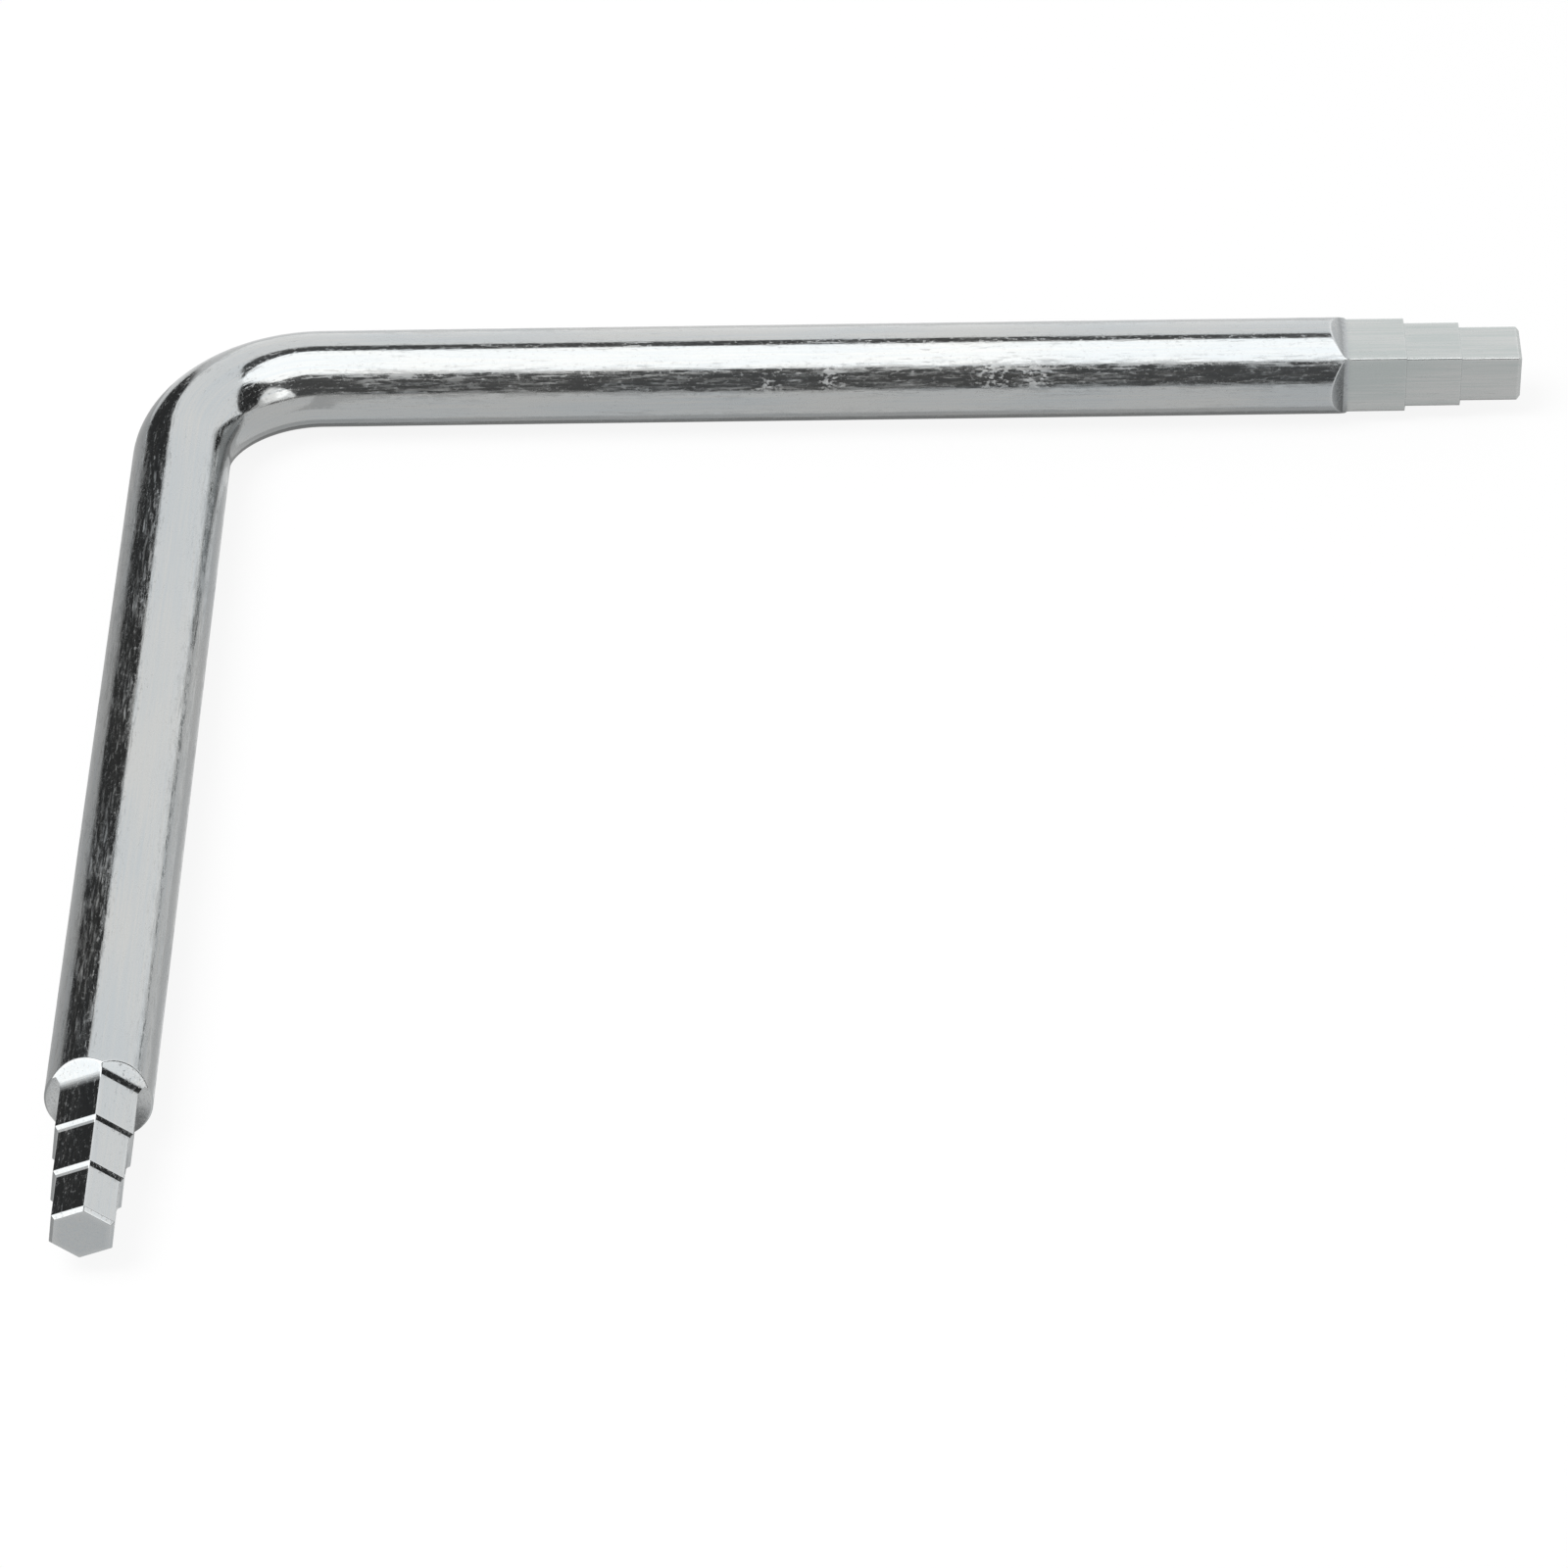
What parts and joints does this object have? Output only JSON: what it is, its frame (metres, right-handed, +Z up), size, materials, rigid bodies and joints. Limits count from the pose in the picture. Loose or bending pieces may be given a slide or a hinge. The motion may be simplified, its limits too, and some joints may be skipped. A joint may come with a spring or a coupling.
{
  "type": "faucet seat wrench",
  "caption": "L-shaped wrench of round plated steel bar, with a stepped hexagon drive on its short arm and a stepped square drive on its long arm, for turning faucet seats.",
  "frame": {"origin": "under the middle of the tool as it lies flat, on the surface it lies on", "axes": "+X along the long arm towards the square tip, -Y along the short arm towards the hexagon tip, +Z up from the surface"},
  "size_m": [0.2004, 0.1844, 0.014],
  "materials": {
    "plated_steel": "bright zinc plating with fine draw lines and scratches"
  },
  "bodies": {
    "root": {"long_arm": "plated_steel", "bend": "plated_steel", "short_arm": "plated_steel", "hex_large_step": "plated_steel", "hex_medium_step": "plated_steel", "hex_small_step": "plated_steel", "square_large_step": "plated_steel", "square_medium_step": "plated_steel", "square_small_step": "plated_steel"}
  },
  "joints": []
}
